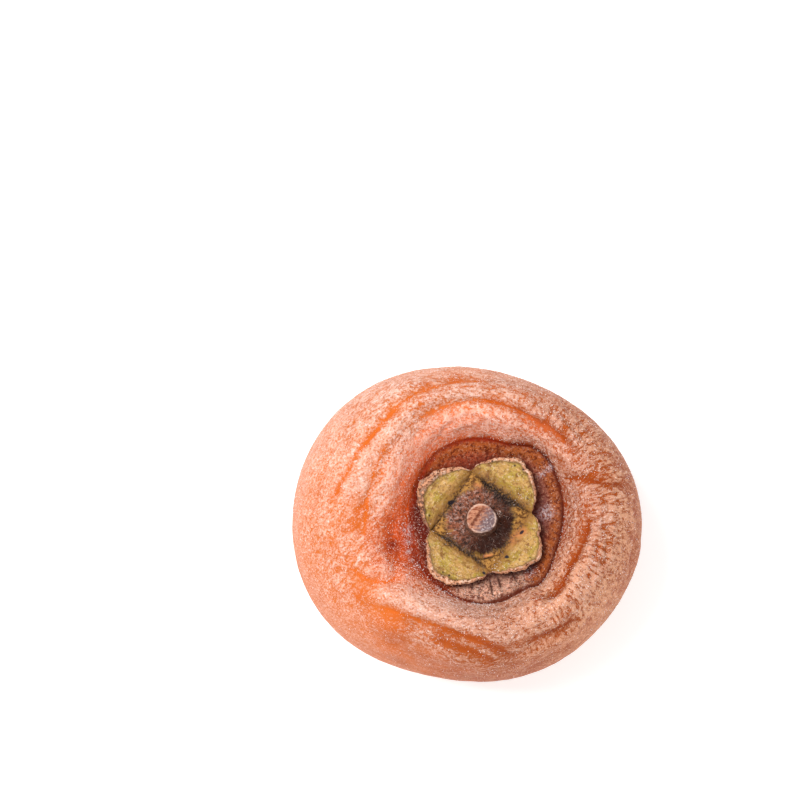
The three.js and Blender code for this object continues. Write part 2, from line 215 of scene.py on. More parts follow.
# The first spot, at the upper-left sepal's root, is painted shade in the crevice there
BLACK_SPOTS = [  # degrees, radius, half length, half width
    (147, 6.0, 0.75, 0.36), (344, 7.3, 0.5, 0.26), (305, 7.7, 0.46, 0.28), (273, 9.1, 0.34, 0.26),
    (240, 11.1, 0.2, 0.16), (234, 11.2, 0.18, 0.14), (39, 8.7, 0.16, 0.1), (141, 11.6, 0.22, 0.12),
    (322, 10.6, 0.15, 0.1),
]
BLACK_SPOT_LEAN = 60  # degrees, from the way outwards
ORANGE_STREAK = [(322, 6.2), (334, 6.6), (345, 7.4)]
ORANGE_PATCH = (-0.3, 6.3, 1.8)  # place, and how much wider than high
SLIT_WAY = (0.21, -0.98, 0)
SLIT = (6.5, 0.17, 1, 1, 1.35)  # distance along SLIT_WAY, half width, middle, where its ends start and stop
FLECK = (6.12, 0.24, 1.2, 0.6, 1)  # the orange fleck above the slit, likewise
STUB_COLUMNS = 180
STUB_RINGS = [44, 8, 24, 12]  # cut face, its rim, side, foot
STUB_SINK = 0.3  # how far the foot goes into the disc
CUP_DEPTH = 0.18
HAIRS = 2000
HAIR_LENGTH = (0.3, 0.8)
HAIR_THICKNESS = (0.02, 0.035)


def fall(distance, width):
    """1 at no distance, and less to either side of it."""
    return np.exp(-((distance / width) ** 2))


def ramp(low, high, value):
    """From 0 below low, smoothly, to 1 above high."""
    t = np.clip((value - low) / (high - low), 0, 1)
    return t * t * (3 - 2 * t)


def drop(low, high, value):
    """From 1 below low, smoothly, to 0 above high."""
    return 1 - ramp(low, high, value)


def mix(start, end, share):
    return start + (end - start) * share


def turn(start, end):
    """Degrees from one direction to another, the short way."""
    return (end - start + 180) % 360 - 180


def bumps(rows, bearing):
    """The sum of bumps round a ring, each given by its direction, height and spread."""
    return sum(height * fall(turn(at, bearing), spread) for at, height, spread in rows)


def noise(seed, points, layers=2):
    """Smooth noise over rows of 3-D points, mostly within -0.6 to 0.6 and the same on each run."""
    draw = np.random.default_rng(seed)
    table = draw.permutation(256)
    slopes = draw.normal(size=(256, 3))
    slopes /= np.linalg.norm(slopes, axis=1, keepdims=True)
    total = np.zeros(len(points))
    for layer in range(layers):
        places = points * 2 ** layer + 17.3 * layer
        cell = np.floor(places).astype(int)
        part = places - cell
        ease = part ** 3 * (part * (part * 6 - 15) + 10)
        height = np.zeros(len(points))
        for corner in itertools.product((0, 1), repeat=3):
            x, y, z = ((cell + corner) & 255).T
            slope = slopes[table[(table[(table[x] + y) & 255] + z) & 255]]
            weight = np.where(corner, ease, 1 - ease).prod(axis=1)
            height += weight * ((part - corner) * slope).sum(axis=1)
        total += height / 2 ** layer
    return total


def spline(points, place):
    """Points on the smooth line through points, and its slope. A place counts from 0 at the first point."""
    points = np.asarray(points, float)
    last = len(points) - 1
    start = np.clip(np.floor(place).astype(int), 0, last - 1)
    t = (place - start)[:, None]
    a, b, c, d = (points[np.clip(start + k, 0, last)] for k in (-1, 0, 1, 2))
    one, two, three = (c - a) / 2, a - 2.5 * b + 2 * c - d / 2, (3 * b - a - 3 * c + d) / 2
    return b + one * t + two * t ** 2 + three * t ** 3, one + 2 * two * t + 3 * three * t ** 2


def ring_radius(ring, degrees):
    """Radius of a closed ring of (degrees, radius) points, smooth in between."""
    ring_at, radius = np.array([(d + 360 * lap, r) for lap in (-1, 0, 1) for d, r in ring]).T
    slope = np.pad((radius[2:] - radius[:-2]) / (ring_at[2:] - ring_at[:-2]), 1)
    degrees = degrees % 360
    end = np.searchsorted(ring_at, degrees, side="right")
    start = end - 1
    span = ring_at[end] - ring_at[start]
    t = (degrees - ring_at[start]) / span
    return (radius[start] * (2 * t ** 3 - 3 * t ** 2 + 1) + slope[start] * span * (t ** 3 - 2 * t ** 2 + t)
            + radius[end] * (3 * t ** 2 - 2 * t ** 3) + slope[end] * span * (t ** 3 - t ** 2))


def outline_radius(degrees):
    angle = np.radians(degrees)
    waves = (LENGTH - WIDTH) / (LENGTH + WIDTH) * np.cos(2 * (angle - math.radians(LONG_WAY)))
    for count, share, crest in OUTLINE_WAVES:
        waves = waves + share * np.cos(count * (angle - math.radians(crest)))
    return (LENGTH + WIDTH) / 4 * (1 + waves)


def direction(degrees):
    angle = np.radians(degrees)
    return np.column_stack([np.cos(angle), np.sin(angle)])


def spot(places, degrees, radius, spread):
    return fall(np.linalg.norm(places - radius * direction(np.array([degrees])), axis=1), spread)


def turned(places, degrees):
    angle = math.radians(degrees)
    return places @ [[math.cos(angle), math.sin(angle)], [-math.sin(angle), math.cos(angle)]]


def fold_line(points):
    places = np.arange((len(points) - 1) * FOLD_SPAN + 1) / FOLD_SPAN
    corners = [(r * math.cos(math.radians(d)), r * math.sin(math.radians(d))) for d, r in points]
    return spline(corners, places)[0]


def nearest_on_line(line, places):
    """How far each place is from the line, and the share of the line's length that it is nearest to."""
    best = np.full(len(places), np.inf)
    share = np.zeros(len(places))
    for index, (start, end) in enumerate(zip(line[:-1], line[1:])):
        along = end - start
        offset = places - start
        t = np.clip(offset @ along / (along @ along), 0, 1)
        distance = np.linalg.norm(offset - t[:, None] * along, axis=1)
        nearer = distance < best
        best[nearer] = distance[nearer]
        share[nearer] = (index + t[nearer]) / (len(line) - 1)
    return best, share


def fold_lift(folds, places):
    """How far the folds lift the skin, how deep in a groove each place is, and how near to its line.

    The last two go from 0 to 1.
    """
    lift = np.zeros(len(places))
    depth_share = np.zeros(len(places))
    core = np.zeros(len(places))
    for depth, width, swell, points in folds:
        line = fold_line(points)
        low = line.min(0) - 5 * width
        high = line.max(0) + 5 * width
        near = np.all((places > low) & (places < high), axis=1)
        distance, share = nearest_on_line(line, places[near])
        fade = ramp(0, FOLD_END, share) * ramp(0, FOLD_END, 1 - share)
        groove = fade * fall(distance, width)
        lift[near] += fade * swell * fall(distance - SWELL[0] * width, SWELL[1] * width) - depth * groove
        depth_share[near] = np.maximum(depth_share[near], groove * min(depth, 1))
        core[near] = np.maximum(core[near], fade * fall(distance, GROOVE_CORE))
    return lift, depth_share, core


def fine_folds():
    """Small folds that run round the basin, a few millimetres to two centimetres long."""
    draw = np.random.default_rng(4)
    folds = []
    for _ in range(FINE_FOLDS):
        start = draw.uniform(0, 360)
        radius = draw.uniform(*FINE_FOLD_RADIUS)
        span = draw.uniform(*FINE_FOLD_SPAN)
        drift = draw.normal(0, 0.6, 4).cumsum()
        points = [(start + span * k / 3, radius + drift[k]) for k in range(4)]
        folds.append((*(draw.uniform(*sizes) for sizes in FINE_FOLD_SIZES), points))
    return folds


def new_mesh(name, points, faces):
    mesh = bpy.data.meshes.new(name)
    mesh.from_pydata((points * MM).tolist(), [], faces)
    return mesh


def mesh_of_many(name, corners, faces):
    """One mesh of many small solids, which have the same faces over their own corners."""
    first = corners.shape[1] * np.arange(len(corners))[:, None, None]
    return new_mesh(name, corners.reshape(-1, 3), (np.array(faces) + first).reshape(-1, 3).tolist())


def grid_mesh(name, columns, points):
    """One closed skin. points holds the first point, then columns for each ring, then the last point."""
    last = len(points) - 1
    ring = np.arange((last - 1) // columns)[:, None] * columns + 1
    column = np.arange(columns)[None]
    after = (column + 1) % columns
    here, beside = ring + column, ring + after
    quads = np.stack([here[:-1], here[1:], beside[1:], beside[:-1]], axis=-1).reshape(-1, 4)
    top = np.column_stack([np.zeros(columns, int), here[0], beside[0]])
    bottom = np.column_stack([np.full(columns, last), beside[-1], here[-1]])
    mesh = new_mesh(name, points, top.tolist() + quads.tolist() + bottom.tolist())
    mesh.polygons.foreach_set("use_smooth", np.ones(len(mesh.polygons), bool))
    return mesh


def new_object(name, data):
    thing = bpy.data.objects.new(name, data)
    bpy.context.scene.collection.objects.link(thing)
    return thing


def add_piece(mesh, material, slot, *nodes):
    piece = new_object(mesh.name, mesh)
    mesh.materials.append(material)
    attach(piece, "root")
    if nodes:
        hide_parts(*nodes)
    return piece


def set_fields(mesh, fields):
    """Give each vertex its masks and places. A grid's ends copy their neighbours where they have no value."""
    for name, values in fields.items():
        values = np.asarray(values, np.float32)
        if len(values) < len(mesh.vertices):
            values = np.concatenate([values[:1], values, values[-1:]])
        kind, key = ("FLOAT", "value") if values.ndim == 1 else ("FLOAT_VECTOR", "vector")
        mesh.attributes.new(name, kind, "POINT").data.foreach_set(key, values.ravel())


def fruit_grid():
    """Direction and step along the section of each point of the fruit's skin."""
    steps = np.concatenate([index + np.arange(count) / count for index, count in enumerate(FRUIT_RINGS)])
    columns = np.arange(FRUIT_COLUMNS) * 360 / FRUIT_COLUMNS
    degrees = np.concatenate([[0], np.tile(columns, len(steps) - 1), [0]])
    return degrees, np.concatenate([[0], np.repeat(steps[1:], FRUIT_COLUMNS), [len(SECTION) - 1]])


def section_travel():
    """Steps along the section, and the millimetres travelled along it at each."""
    steps = np.linspace(0, len(SECTION) - 1, 100 * len(SECTION))
    points = spline(SECTION, steps)[0]
    return steps, np.concatenate([[0], np.cumsum(np.linalg.norm(np.diff(points, axis=0), axis=1))])


def plain_fruit(degrees, step):
    """Plan and height of each point of the unwrinkled fruit, and how far out and up its skin faces."""
    (radius, height), (slope_radius, slope_height) = (values.T for values in spline(SECTION, step))
    steepness = np.hypot(slope_radius, slope_height)
    way = direction(degrees)
    axis = np.array(CALYX_AXIS)
    edge_radius, full_radius = SECTION[PEEL_EDGE][0], SECTION[EQUATOR][0]
    peel_edge = axis + way * ring_radius(PEEL_EDGE_RING, degrees)[:, None]
    outline = way * outline_radius(degrees)[:, None] + (OVAL_X, 0)
    in_basin = axis + (peel_edge - axis) * (radius / edge_radius)[:, None]
    on_shoulder = mix(peel_edge, outline, ((radius - edge_radius) / (full_radius - edge_radius))[:, None])
    below = outline * (radius / full_radius)[:, None]
    zones = [(step <= PEEL_EDGE)[:, None], (step <= EQUATOR)[:, None]]
    plan = np.select(zones, [in_basin, on_shoulder], below)
    return plan, height, -slope_height / steepness, slope_radius / steepness


def about_calyx(plan):
    """Places about the calyx's axis, their distance and bearing, and how far outside the edge of the peel."""
    places = plan - CALYX_AXIS
    off_axis = np.linalg.norm(places, axis=1)
    bearing = np.degrees(np.arctan2(places[:, 1], places[:, 0]))
    return places, off_axis, bearing, off_axis - ring_radius(PEEL_EDGE_RING, bearing)


def build_fruit(material):
    """The fruit. Gives its piece, where each point is about the calyx's axis, and its masks."""
    degrees, step = fruit_grid()
    plan, height, out, up = plain_fruit(degrees, step)
    way = direction(degrees)
    places, off_axis, bearing, off_peel = about_calyx(plan)
    upper = step < EQUATOR

    # Large folds, the crease along the peel and the broad sags
    clear = 1 - bumps(PEEL_CREASE_FAINT, bearing)
    folds, groove, core = fold_lift(FOLDS, places)
    crease = -PEEL_CREASE[0] * clear * fall(off_peel - PEEL_CREASE_AT, PEEL_CREASE[1])
    sags = sum(size * np.cos(count * np.radians(degrees - crest)) * fall(step - EQUATOR - at, SAG_REACH)
               for count, size, crest, at in SAGS)
    over_basin = ramp(PEEL_EDGE - 2, PEEL_EDGE - 1, step)
    off_flat_spot = drop(FLAT_SPOT - 2, FLAT_SPOT, step)
    lift = over_basin * (upper * (folds + crease) + off_flat_spot * sags)

    # Small folds and fine wrinkles: round the basin on top, down the east flank and aslant on the west one
    small, small_groove, _ = fold_lift(fine_folds(), places)
    streaks, streak_groove, _ = fold_lift(BARE_STREAKS, places)
    body = np.column_stack([plan, height])
    wander = noise(11, body / 5)
    travel = np.interp(step, *section_travel()) + 1.1 * wander
    skin = np.column_stack([way * SKIN_ROUND, travel])
    leaning = np.column_stack([turned(body[:, :2], -LEAN[2]), height])
    above_rim = drop(9, 11, step)
    across = ramp(0.35, 0.7, way[:, 0] + 0.4 * wander) * ramp(5, 7, step) * above_rim
    lean = fall(turn(LEAN[0], bearing) + 30 * wander, LEAN[1]) * ramp(4.2, 5.5, step) * above_rim
    wrinkle = mix(noise(12, skin / WRINKLE_ALONG), noise(13, skin / WRINKLE_ACROSS), 0.7 * across)
    wrinkle = mix(wrinkle, noise(17, leaning / WRINKLE_LEANING), lean)
    lump = noise(14, body / 2.6)
    outer = ramp(PEEL_EDGE - 0.1, PEEL_EDGE + 0.4, step)
    resting = drop(FLAT_SPOT - 1.5, FLAT_SPOT - 0.2, step)
    calm_rim = 1 - 0.5 * fall(step - 10, 2)
    seam = -PEEL_SEAM[0] * clear * fall(off_peel - PEEL_CREASE_AT + 0.1 * wander, PEEL_SEAM[1])
    cracks = ramp(*PEEL_CRACK_START, off_axis) * sum(
        fall(turn(at, bearing) * off_axis / RADIAN + 0.25 * wander, width)
        * drop(end - 0.9, end + 0.4, off_axis) for at, end, width in PEEL_CRACKS)
    lift += upper * (outer * (small + streaks) + over_basin * (seam - PEEL_CRACK_DEPTH * cracks))
    lift += outer * resting * calm_rim * (WRINKLE_HEIGHT * wrinkle + LUMP_HEIGHT * lump)
    peel_wrinkle = noise(15, np.column_stack([way * 9, travel / 3]))
    peel_relief = PEEL_WRINKLE_HEIGHT * peel_wrinkle + PEEL_GRAIN_HEIGHT * noise(19, body / 0.9)
    lift += peel_relief * over_basin * (1 - outer)

    # Blossom end: a small sunk scar with puckers round it
    from_scar = np.where(step > EQUATOR, np.linalg.norm(plan, axis=1), np.inf)
    pucker = 1 + 0.5 * np.cos(4 * np.radians(degrees - 20)) + 0.3 * np.cos(9 * np.radians(degrees))
    sunk = 0.9 * fall(from_scar, SCAR_RADIUS * 0.55) + 0.25 * pucker * fall(from_scar, SCAR_RADIUS * 1.6)

    top = np.where(step >= FLAT_SPOT, 0, np.maximum(height + up * lift, 0)) + sunk
    mesh = grid_mesh("fruit_skin", FRUIT_COLUMNS, np.column_stack([plan + way * (out * lift)[:, None], top]))
    masks = {
        "groove": np.maximum(groove, small_groove) * upper,
        "core": core * upper,
        "bare": 5 * streak_groove,
        "across": across,
        "lean": lean,
        "crack": cracks * upper,
        "scar": fall(from_scar, SCAR_RADIUS),
        # Duller to the south-east: partly the flesh's own duller tone, partly painted shade on the side away
        # from the light
        "dull_and_shaded": ramp(-0.5, 0.62, way @ (0.94, -0.34) + 0.4 * wander),
    }
    edge_wander = 0.3 * noise(16, body / 1.2)
    slow_wander = 0.8 * noise(18, body / 3)
    masks |= fruit_masks(masks, step, plan, wander, edge_wander, slow_wander, wrinkle, lump)
    set_fields(mesh, masks | {"skin": skin * MM, "leaning": leaning * MM})
    return add_piece(mesh, material, "dried_flesh", "fruit"), places, masks


def fruit_masks(given, step, plan, wander, edge_wander, slow_wander, wrinkle, lump):
    """Masks of the fruit's colours. Distances are from the calyx's axis or from the edge of the peel."""
    places, off_axis, bearing, off_peel = about_calyx(plan)
    upper = step < EQUATOR
    at_edge = off_peel + edge_wander
    zone = {name: bumps([(at, 1, spread)], bearing) for name, (at, spread) in ZONES.items()}
    peel = drop(-0.15, 0.15, off_peel + edge_wander * 0.5) * (1 - 0.95 * zone["no peel"]) * upper
    # Red on the basin's west wall: partly the flesh's own dark red, partly painted shade on the wall that
    # faces away from the light
    red = drop(-0.3, 2.8, off_peel + 2.5 * edge_wander + slow_wander) * zone["red wall"]
    red = np.maximum(red, drop(-0.6, 0.5, at_edge) * zone["red inside"])
    red = np.maximum(red, 0.45 * fall(off_peel + 0.2 + slow_wander * 0.2, 0.4))
    # the pocket: painted shadow
    red = np.maximum(red, 0.95 * spot(places, *POCKET) * (1 + 2 * edge_wander))
    bare_spots = sum(share * spot(places, *patch) for *patch, share in BARE_SPOTS) * drop(9, 12, step)
    rings = {
        "whole slope": 1,
        "outer slope": ramp(17, 24, off_axis),
        "middle slope": fall(off_axis - 19, 3.5),
        "lip": fall(off_peel - 1, 0.9),
    }
    patches = sum(bumps(rows, bearing) * rings[ring] for ring, rows in COVER_PATCHES.items())
    cover = COVER + patches + 0.13 * fall(off_axis - 18.5, 4.5) + 0.04 * lump + 0.04 * wander
    flush_width = 3.8 + 8.5 * zone["wide flush"]
    blush_width = 0.75 + 0.7 * zone["wide blush"]
    crease_width = 0.31 + 0.08 * zone["wide crease"] + 0.06 * wander
    crease = fall(off_peel + 0.1 + 0.4 * edge_wander + bumps(CREASE_SHIFTS, bearing), crease_width)
    south_at, south_whole, south_end = SOUTH
    off_south = np.abs(turn(south_at, bearing)) + 8 * slow_wander
    return {
        "peel": peel,
        "groove": np.clip(given["groove"] ** 1.2 * (1 + edge_wander) - 0.2 * wrinkle - 0.2 * lump, 0, 1),
        "core": np.clip(given["core"] * (1.1 + slow_wander + 0.8 * wrinkle), 0, 1),
        "flush": drop(0, flush_width, off_peel + slow_wander - 0.5 * wrinkle) * zone["flush"] * upper,
        # pink: pinker flesh and frost on the north wall above the crease, also painted lighter to lift the
        # shade on that steep wall
        "pink": ramp(0.2, 1, off_peel) * drop(2.5, 6.5, off_peel + 1.5 * slow_wander) * zone["pink"] * upper,
        # rim: painted shade, darker round the south-east rim that turns away from the light
        "rim": ramp(23.5, 28.5, off_axis + 2 * wander) * zone["rim"],
        "bare": np.clip((bare_spots + given["bare"]) * (1 + slow_wander + 0.5 * wrinkle), 0, 1),
        "calm": np.maximum(zone["calm"] * ramp(17, 21, off_axis), 0.8 * ramp(7.5, 9.5, step)),
        "low": ramp(8.5, 10.5, step),
        "cover": np.clip(cover + (0.07 + 0.1 * given["across"]) * wrinkle, 0, 1),
        "blush": fall(np.maximum(off_peel + 0.3 * slow_wander, 0), blush_width) * upper
                 * (1 - 0.7 * zone["less blush"]),
        "red": np.clip(red * upper * (1 + edge_wander), 0, 1),
        # crease: the peel's dark red cut edge, darkened further as painted shade in the crease
        "crease": np.clip((1 - 0.7 * zone["thin crease"]) * crease * (1.25 + 0.7 * lump), 0, 1)
                  * (1 - 0.45 * zone["no crease"]) * upper,
        # pale spots: painted highlights on the peel, and drifts of sugar
        "highlight_and_drift": np.clip(sum(spot(places, *highlight_and_drift) for highlight_and_drift in HIGHLIGHTS_AND_DRIFTS) * upper * (1 + 2 * edge_wander), 0, 1),
        # maroon: partly dark flesh, partly painted shade at the foot of the west wall beside the calyx
        "maroon": drop(-1.7, 0.2, at_edge) * zone["maroon"] * upper,
        # Painted shade on the peel in a ring round the calyx
        "shade_round_calyx": drop(9.8, 12.4, off_axis + slow_wander) * upper,
        # south: the peel's pale frosted part, also painted lighter to lift the calyx's shade there
        "south": drop(south_whole, south_end, off_south) * (1 + 0.3 * slow_wander),
        "east": zone["east"],
        "warm": np.maximum(ramp(19.5, 24.5, off_axis + 2 * wander), 0.6 * zone["warm basin"]) * zone["warm"],
        "band": ramp(-2.6, -1.2, at_edge + 0.5 * slow_wander) * peel,
        # Painted shadow on the peel under the calyx and just beyond its edge
        "calyx_shadow": drop(-0.3, 0.8, off_axis + edge_wander - sepal_radii(bearing)[1]) * upper,
    }


def build_sugar_grains(material, fruit, places, masks, calyx_points, calyx_upper):
    """Loose eight-sided grains that lie on the skin, thicker on its ridges and in a few drifts."""
    draw = np.random.default_rng(31)
    vertices = fruit.data.vertices
    place, facing = np.empty((2, len(vertices) * 3), np.float32)
    vertices.foreach_get("co", place)
    vertices.foreach_get("normal", facing)
    place = place.reshape(-1, 3).astype(float) / MM
    facing = facing.reshape(-1, 3).astype(float)
    area = np.linalg.norm(place[:, :2], axis=1)  # the columns spread with the radius
    top = ramp(-0.2, 0.3, facing[:, 2]) * area
    weight = top * (0.15 + masks["cover"] ** 2) * (1 - 0.7 * masks["groove"]) * (1 - 0.85 * masks["peel"])
    weight = weight / weight.sum() * (1 - sum(clump[3] for clump in GRAIN_CLUMPS))
    for *clump, share in GRAIN_CLUMPS:
        near = spot(places, *clump) * top
        weight += near / near.sum() * share
    seat = draw.choice(len(vertices), GRAINS, p=weight)
    corners = [grain_corners(draw, place[seat], facing[seat])]
    around = calyx_points[:, :2] - CALYX_AXIS
    for *clump, count in CALYX_GRAIN_CLUMPS:
        near = spot(around, *clump) * calyx_upper * np.linalg.norm(around, axis=1)
        seat = draw.choice(len(near), count, p=near / near.sum())
        corners.append(grain_corners(draw, calyx_points[seat], np.tile([0, 0, 1.0], (count, 1))))
    faces = [(0, 1, 4), (1, 2, 4), (2, 3, 4), (3, 0, 4), (1, 0, 5), (2, 1, 5), (3, 2, 5), (0, 3, 5)]
    add_piece(mesh_of_many("sugar_grains", np.concatenate(corners), faces), material, "sugar_bloom")


def grain_corners(draw, seats, facing):
    """The six corners of a grain on each seat, no two of a size or turned the same way."""
    count = len(seats)
    jitter = draw.normal(0, 0.12, (count, 3))
    jitter -= (jitter * facing).sum(axis=1, keepdims=True) * facing
    radius = draw.uniform(0, 1, count) ** 2 * (GRAIN_RADIUS[1] - GRAIN_RADIUS[0]) + GRAIN_RADIUS[0]
    centre = seats + jitter + facing * (0.35 * radius)[:, None]
    corners = np.array([(1, 0, 0), (0, 1, 0), (-1, 0, 0), (0, -1, 0), (0, 0, 1), (0, 0, -1)], float)
    turns = np.linalg.qr(draw.normal(size=(count, 3, 3)))[0]
    turns *= np.sign(np.linalg.det(turns))[:, None, None]
    shape = corners * draw.uniform(0.7, 1.3, (count, 1, 3))
    points = centre[:, None] + np.einsum("gij,gkj->gki", turns, shape) * radius[:, None, None]
    points[..., 2] = np.maximum(points[..., 2], 0)
    return points


def sepal_radii(degrees):
    """Radius of the fold across a sepal's root and of the sepal's edge, and how far into the sepal it is."""
    past = (degrees - JUNCTION) % 360
    off_junction = np.abs(turn(0, 4 * past)) / 4
    reach, rise = np.array(SEPALS)[(past // 90).astype(int)].T
    middle = np.sin(np.radians((past % 90) * 2))
    x, y = np.abs(direction(degrees - JUNCTION)).T
    square = CALYX_HALF_WIDTH / (x ** CALYX_SQUARENESS + y ** CALYX_SQUARENESS) ** (1 / CALYX_SQUARENESS)
    edge = square * mix(1, reach, middle) - NOTCH[0] * fall(off_junction, NOTCH[1])
    fold = SEPAL_FOLD[0] / np.cos(np.radians(45 - off_junction)) ** SEPAL_FOLD[1]
    return fold, edge, rise, middle


def calyx_grid():
    """Each point's direction, its row and whether that is on the upper face.

    A row is -1 in the middle, 0 at the roots of the sepals and 1 at their edge.
    """
    below_sepals, below_disc = CALYX_UNDER_RINGS
    upper = [*np.linspace(-1, 0, CALYX_DISC_RINGS + 1)[1:-1], *np.linspace(0, 1, CALYX_SEPAL_RINGS)]
    under = [*np.linspace(1, 0, below_sepals), *np.linspace(0, -1, below_disc)[1:-1]]
    rows = np.repeat(upper + under, CALYX_COLUMNS)
    columns = np.arange(CALYX_COLUMNS) * 360 / CALYX_COLUMNS + JUNCTION
    is_upper = np.arange(len(rows)) < len(upper) * CALYX_COLUMNS
    return np.tile(columns, len(upper + under)), rows, is_upper


def across_way(place, way, distance, width, middle, whole, end):
    """A short bar that lies across a way at a distance, width thick to each side."""
    return fall(place @ way - distance, width) * drop(whole, end, np.abs(place[:, 0] - middle))


def build_calyx(material):
    """The calyx. Gives its points, how hairy each is and which are on its upper face."""
    degrees, row, is_upper = calyx_grid()
    fold, edge, rise, middle = sepal_radii(degrees)
    sepal = (((degrees - JUNCTION) % 360) // 90).astype(int)
    cork_share = np.array(CORK_SHARE)[sepal]
    fuzz_share, fuzz_width = np.array(FUZZ)[sepal].T
    way = direction(degrees)
    ring = np.column_stack([way, np.zeros(len(way))])
    edge = edge + sum(size * noise(seed, ring * count) for seed, count, size in EDGE_WAVES)
    edge = edge - bumps(EDGE_NICKS, degrees)
    inside = np.clip(row, 0, 1)
    radius = np.where(row <= 0, fold * (1 + row), mix(fold, edge, inside))
    place = ring * radius[:, None]
    off_fold = radius - fold

    # The plain shape: the disc, and the sepals that rise from it
    disc = mix(DISC_HEIGHT, DISC_EDGE_HEIGHT, ramp(STUB_RADIUS + STUB_FOOT[0], SEPAL_FOLD[0], radius))
    disc = mix(disc, FOLD_HEIGHT, ramp(-FOLD_LIP, 0, row))
    bend = np.sin(inside ** SEPAL_BEND[0] * math.radians(SEPAL_BEND[1]))
    top = np.where(row <= 0, disc, FOLD_HEIGHT + rise * middle ** SEPAL_SIDES * bend)

    # Felt on the disc, a hollow in each sepal, fine veins and a rolled corky edge
    wander = noise(23, place / 2.4)
    crumb = noise(24, place / 0.6, 3)
    vein = noise(25, np.column_stack([way * 2.4, (radius - 0.35 * fold) / 0.5]), 3)
    felt_edge = FELT_RADIUS + 0.9 * wander + 0.7 * noise(27, ring * 14)
    felt = drop(-0.5, 0.55, radius - felt_edge) * drop(-0.02, 0.05, row)
    on_sepal = ramp(0, 0.12, row)
    cork = ramp(1 - cork_share, 1 - cork_share + 0.07, row + 0.09 * wander)
    fuzz = fuzz_share * fall(off_fold + 0.1 + 0.9 * wander, fuzz_width + 0.5 * np.abs(wander))
    fuzz = fuzz * ramp(0.1, 0.6, middle) * ramp(-0.35, 0.1, noise(26, place / 0.35))
    hollow = fall(row - 0.58, 0.24) * middle
    roll = fall(row - 0.93 + 0.3 * cork_share, 0.09) * (0.7 + 0.8 * wander)
    relief = on_sepal * (0.16 * vein + 0.32 * roll - 0.42 * hollow + 0.3 * wander) + 0.26 * crumb * cork
    relief = relief + (0.16 * crumb - 0.12 * wander) * (1 - on_sepal) - 0.4 * fuzz

    # The slit below the stub with the orange fleck over it, black gaps along the folds, and spots
    slit = across_way(place, SLIT_WAY, *SLIT)
    # The black of a gap is painted shade in the crevice under a sepal's root
    gap = fall(off_fold + 0.2 * crumb, 0.12 + 0.2 * np.abs(wander)) * np.clip(bumps(FOLD_GAPS, degrees), 0, 1)
    gap = gap * ramp(-0.45, 0.15, wander + 0.6 * crumb)
    relief = relief - 0.35 * slit - 0.45 * np.clip(gap, 0, 1)
    flat = place[:, :2] + 0.12 * crumb[:, None]
    streak = fall(nearest_on_line(fold_line(ORANGE_STREAK), flat + 0.5 * wander[:, None])[0], 0.75)
    black = np.zeros(len(place))
    for at, off_middle, long, wide in BLACK_SPOTS:
        off = turned(flat - off_middle * direction(np.array([at])), -at - BLACK_SPOT_LEAN)
        off_spot = np.hypot(off[:, 0] / long, off[:, 1] / wide)
        black = np.maximum(black, drop(0.7, 1.2, off_spot + 0.4 * crumb))

    bottom = np.where(row <= 0, 0, np.maximum(top - SEPAL_THICKNESS, 0))
    rounded = EDGE_ROUND * ramp(0.93, 1, row)
    under = bottom + rounded + 0.1 * np.abs(crumb) * (row > 0.1)
    height = np.where(is_upper, np.maximum(top + relief - rounded, under + LEAST_THICKNESS), under)
    height = np.where(np.isclose(row, 1), (top + relief + bottom) / 2, height)
    seat = SECTION[0][1] + CALYX_GAP
    points = np.column_stack([way * radius[:, None] + CALYX_AXIS, height + seat])
    points = np.concatenate([[[*CALYX_AXIS, seat + DISC_HEIGHT]], points, [[*CALYX_AXIS, seat]]])
    mesh = grid_mesh("calyx_sepals", CALYX_COLUMNS, points)
    orange_x, orange_y, wider = ORANGE_PATCH
    orange = fall(np.hypot(place[:, 0] - orange_x, (place[:, 1] - orange_y) * wider), 0.75)
    masks = {
        "cork": cork * on_sepal,
        "felt": felt,
        # fuzz also takes the gaps: the fuzz is its own colour, the gaps painted shade
        "fuzz": np.clip(fuzz * 1.2 + gap, 0, 1),
        "burnt": bumps(BURNT, degrees) * ramp(0.4, 0.7, row),
        "black": black,
        "tip": (1 - felt) * drop(-0.05, 0.2, row),
        "slit": slit,
        "orange": orange + 1.2 * across_way(place, SLIT_WAY, *FLECK) + 0.8 * streak,
        "under": 1 - is_upper,
        "shade": ramp(-0.6, 0.7, way @ (0.75, -0.66) * radius / FELT_RADIUS + 0.5 * wander),
        "vein": np.clip(0.5 + vein, 0, 1),
        # root: browner near a sepal's root, partly its own dried colour, partly painted shade in the hollow
        # at the fold
        "root": drop(0.3, 2.9, off_fold + 0.8 * wander) * (1 - felt),
        "cork_line": fall(row - 1 + cork_share - 0.02 + 0.09 * wander, 0.035) * on_sepal,
    }
    set_fields(mesh, masks | {"ray": np.column_stack([way * 4.5, radius / 1.4]) * MM})
    add_piece(mesh, material, "dried_calyx", "calyx")
    hairy = is_upper * (radius > STUB_RADIUS + 0.3) * (0.35 * felt + fuzz)
    return points, np.pad(hairy, 1), np.pad(is_upper, 1)


